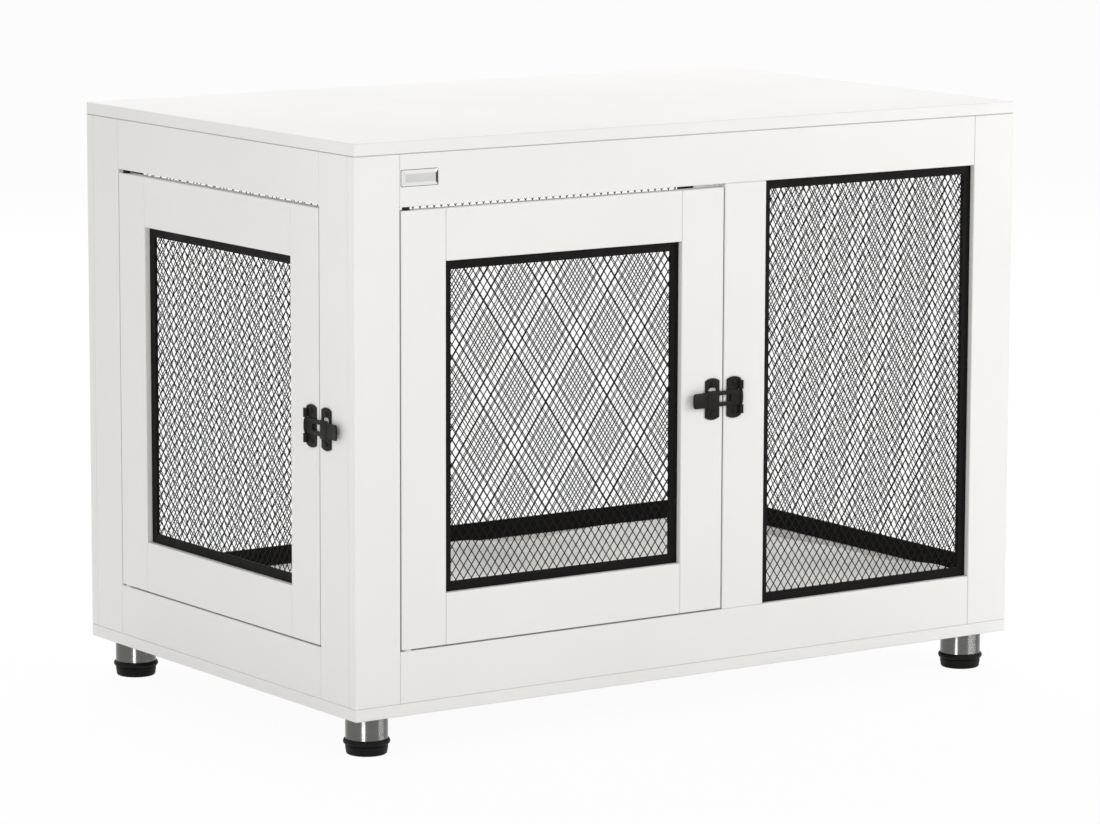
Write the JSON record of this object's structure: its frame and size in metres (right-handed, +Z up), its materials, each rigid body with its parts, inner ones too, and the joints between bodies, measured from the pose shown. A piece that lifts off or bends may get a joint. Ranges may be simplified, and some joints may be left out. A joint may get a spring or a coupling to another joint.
{
  "type": "pet crate",
  "caption": "Furniture-style pet crate of white boards with black diamond mesh windows, a front and a side door with swing latches, steel tube feet and a floor cushion.",
  "frame": {"origin": "centre of the footprint of the whole part, finger tabs of the latches included, on the floor under the feet", "axes": "+Z up; -Y toward the front, which has the wide window beside a door; +X toward the side without a door"},
  "size_m": [0.9882, 0.6302, 0.725],
  "materials": {
    "white_board": "satin white lacquer on smooth fibreboard",
    "grille_steel": "matt black powder coat",
    "black_screws": "black oxide",
    "latch_steel": "satin black coat",
    "zinc_steel": "zinc plated",
    "white_nylon": "natural nylon",
    "brushed_tube": "stainless steel, brushed round the tube",
    "black_plastic": "fine textured",
    "bright_plate": "satin, bevelled",
    "cushion_fabric": "plain weave"
  },
  "bodies": {
    "crate": {"top_panel": "white_board", "bottom_panel": "white_board", "front_left_post": "white_board", "front_right_post": "white_board", "front_mid_stile": "white_board", "front_top_rail": "white_board", "front_bottom_rail": "white_board", "back_left_post": "white_board", "back_right_post": "white_board", "back_top_rail": "white_board", "back_bottom_rail": "white_board", "left_front_post": "white_board", "left_back_post": "white_board", "left_top_rail": "white_board", "left_bottom_rail": "white_board", "right_front_post": "white_board", "right_back_post": "white_board", "right_top_rail": "white_board", "right_bottom_rail": "white_board", "front_window_grille": "grille_steel", "right_side_grille": "grille_steel", "back_grille": "grille_steel", "cam_discs": "zinc_steel", "cam_bolts": "zinc_steel", "crate_screws": "black_screws", "door_pivot_pins": "latch_steel", "door_pivot_washers": "white_nylon", "front_latch_hinge_plate": "latch_steel", "front_latch_pin": "latch_steel", "side_latch_keeper": "latch_steel", "foot_tube_front_left": "brushed_tube", "foot_tube_front_right": "brushed_tube", "foot_tube_back_left": "brushed_tube", "foot_tube_back_right": "brushed_tube", "foot_plates": "zinc_steel", "foot_collars": "black_plastic", "badge_plate": "bright_plate", "cushion": "cushion_fabric"},
    "front_door": {"front_door_hinge_stile": "white_board", "front_door_latch_stile": "white_board", "front_door_top_rail": "white_board", "front_door_bottom_rail": "white_board", "front_door_grille": "grille_steel", "front_door_screws": "black_screws", "front_latch_keeper": "latch_steel"},
    "side_door": {"side_door_hinge_stile": "white_board", "side_door_latch_stile": "white_board", "side_door_top_rail": "white_board", "side_door_bottom_rail": "white_board", "side_door_grille": "grille_steel", "side_door_screws": "black_screws", "side_latch_hinge_plate": "latch_steel", "side_latch_pin": "latch_steel"},
    "front_latch_arm": {"front_latch_arm": "latch_steel"},
    "side_latch_arm": {"side_latch_arm": "latch_steel"},
    "foot_front_left": {"foot_base_front_left": "black_plastic"},
    "foot_front_right": {"foot_base_front_right": "black_plastic"},
    "foot_back_left": {"foot_base_back_left": "black_plastic"},
    "foot_back_right": {"foot_base_back_right": "black_plastic"}
  },
  "joints": [
    {"name": "front_door_hinge", "type": "hinge", "parent": "crate", "child": "front_door", "pos_m": [-0.41193, -0.30093, 0.3865], "axis": [0, 0, -1], "range_deg": [0, 110]},
    {"name": "side_door_hinge", "type": "hinge", "parent": "crate", "child": "side_door", "pos_m": [-0.47993, 0.22607, 0.3865], "axis": [0, 0, -1], "range_deg": [0, 110]},
    {"name": "front_latch_hinge", "type": "hinge", "parent": "crate", "child": "front_latch_arm", "pos_m": [0.06807, -0.31013, 0.3865], "axis": [0, 0, 1], "range_deg": [0, 150]},
    {"name": "side_latch_hinge", "type": "hinge", "parent": "side_door", "child": "side_latch_arm", "pos_m": [-0.48913, -0.20393, 0.3865], "axis": [0, 0, -1], "range_deg": [0, 150]},
    {"name": "foot_front_left_level", "type": "slide", "parent": "crate", "child": "foot_front_left", "axis": [0, 0, 1], "range_m": [-0.01, 0]},
    {"name": "foot_front_right_level", "type": "slide", "parent": "crate", "child": "foot_front_right", "axis": [0, 0, 1], "range_m": [-0.01, 0]},
    {"name": "foot_back_left_level", "type": "slide", "parent": "crate", "child": "foot_back_left", "axis": [0, 0, 1], "range_m": [-0.01, 0]},
    {"name": "foot_back_right_level", "type": "slide", "parent": "crate", "child": "foot_back_right", "axis": [0, 0, 1], "range_m": [-0.01, 0]}
  ]
}
